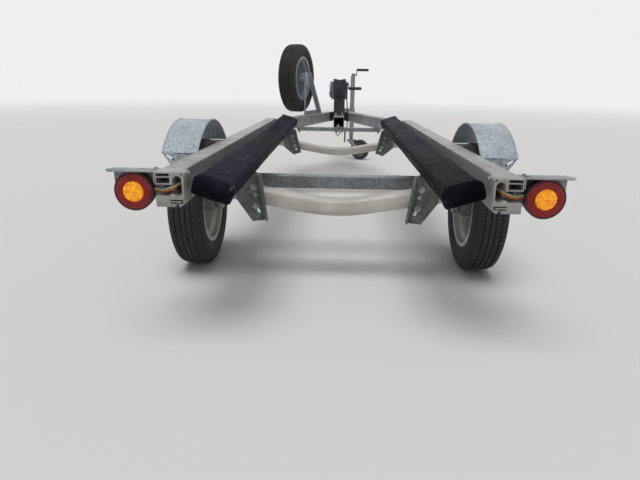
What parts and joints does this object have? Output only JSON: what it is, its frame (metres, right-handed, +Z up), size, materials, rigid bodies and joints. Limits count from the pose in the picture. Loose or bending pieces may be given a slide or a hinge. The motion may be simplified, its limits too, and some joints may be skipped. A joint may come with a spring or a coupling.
{
  "type": "boat trailer",
  "caption": "Single-axle boat trailer: aluminium rails, arched crossmembers, padded bunks, winch post, spare wheel and jockey wheel.",
  "frame": {"origin": "on the ground under the middle of the trailer's length and width", "axes": "+X to the right seen from behind, +Y forward to the coupling, +Z up"},
  "size_m": [1.42, 4.56, 1.118],
  "materials": {
    "wire_red": "red wire insulation",
    "wire_yellow": "yellow wire insulation",
    "wire_white": "white wire insulation",
    "aluminium": "satin extruded aluminium",
    "cast_aluminium": "plain cast aluminium",
    "galvanised": "hot-dip galvanised, speckled",
    "black_steel": "black paint",
    "bunk_cover": "black wrap with a navy tint, dusty",
    "black_plastic": "matte black",
    "red_lens": "dark red lens",
    "amber_lens": "amber lens",
    "bow_rubber": "blue-black rubber",
    "wheel_silver": "silver paint",
    "tyre": "charcoal road tyre",
    "hub_steel": "dull grey",
    "strap_webbing": "woven webbing",
    "jockey_rubber": "black solid tyre"
  },
  "bodies": {
    "chassis": {"side_rail_left": "aluminium", "side_rail_right": "aluminium", "rail_ends": "cast_aluminium", "drawbar_arm_left": "aluminium", "drawbar_arm_right": "aluminium", "drawbar": "galvanised", "drawbar_gussets": "black_steel", "drawbar_tie": "galvanised", "rear_crossmember": "aluminium", "front_crossmember": "aluminium", "axle_tube": "galvanised", "axle_mounts": "galvanised", "swing_arms": "galvanised", "mudguard_left": "galvanised", "mudguard_right": "galvanised", "mudguard_stays": "galvanised", "bunk_left": "bunk_cover", "bunk_right": "bunk_cover", "rear_bunk_brackets": "galvanised", "front_bunk_brackets": "galvanised", "lamp_plates": "galvanised", "lamp_housings": "black_plastic", "lamp_red_lenses": "red_lens", "lamp_amber_lenses": "amber_lens", "winch_post": "black_steel", "bow_stop": "bow_rubber", "winch_frame": "galvanised", "spare_carrier": "galvanised", "spare_rim": "wheel_silver", "spare_tyre": "tyre", "jockey_clamp": "galvanised", "jockey_tube": "galvanised", "jockey_crank": "galvanised", "jockey_grip": "black_plastic", "coupling": "galvanised", "coupling_handle": "galvanised", "trailer_plug": "black_plastic", "trailer_lead": "black_plastic", "lamp_wires_red": "wire_red", "lamp_wires_yellow": "wire_yellow", "lamp_wires_white": "wire_white"},
    "wheel_left": {"rim_left": "wheel_silver", "tyre_left": "tyre", "hub_left": "hub_steel"},
    "wheel_right": {"rim_right": "wheel_silver", "tyre_right": "tyre", "hub_right": "hub_steel"},
    "winch_drum": {"winch_drum": "galvanised", "winch_strap": "strap_webbing"},
    "winch_crank": {"winch_crank": "galvanised", "winch_grip": "black_plastic"},
    "jockey_leg": {"jockey_leg": "galvanised"},
    "jockey_fork": {"jockey_fork": "galvanised"},
    "jockey_wheel": {"jockey_rim": "wheel_silver", "jockey_tyre": "jockey_rubber"}
  },
  "joints": [
    {"name": "wheel_left_spin", "type": "hinge", "parent": "chassis", "child": "wheel_left", "pos_m": [-0.625, -1.51, 0.281], "axis": [1, 0, 0], "continuous": true},
    {"name": "wheel_right_spin", "type": "hinge", "parent": "chassis", "child": "wheel_right", "pos_m": [0.625, -1.51, 0.281], "axis": [1, 0, 0], "continuous": true},
    {"name": "jockey_slide", "type": "slide", "parent": "chassis", "child": "jockey_leg", "axis": [0, 0, 1], "range_m": [-0.12, 0.05]},
    {"name": "jockey_swivel", "type": "hinge", "parent": "jockey_leg", "child": "jockey_fork", "pos_m": [0.14, 1.91, 0.207], "axis": [0, 0, 1], "continuous": true},
    {"name": "jockey_roll", "type": "hinge", "parent": "jockey_fork", "child": "jockey_wheel", "pos_m": [0.23753, 1.84906, 0.108], "axis": [0.5299, 0.848, 0], "continuous": true},
    {"name": "winch_drum_spin", "type": "hinge", "parent": "chassis", "child": "winch_drum", "pos_m": [0, 1.02, 0.735], "axis": [1, 0, 0], "continuous": true},
    {"name": "winch_crank_spin", "type": "hinge", "parent": "chassis", "child": "winch_crank", "pos_m": [0, 1.066, 0.795], "axis": [1, 0, 0], "continuous": true}
  ],
  "couplings": [
    {"joint": "winch_crank_spin", "follows": "winch_drum_spin", "ratio": -4}
  ]
}
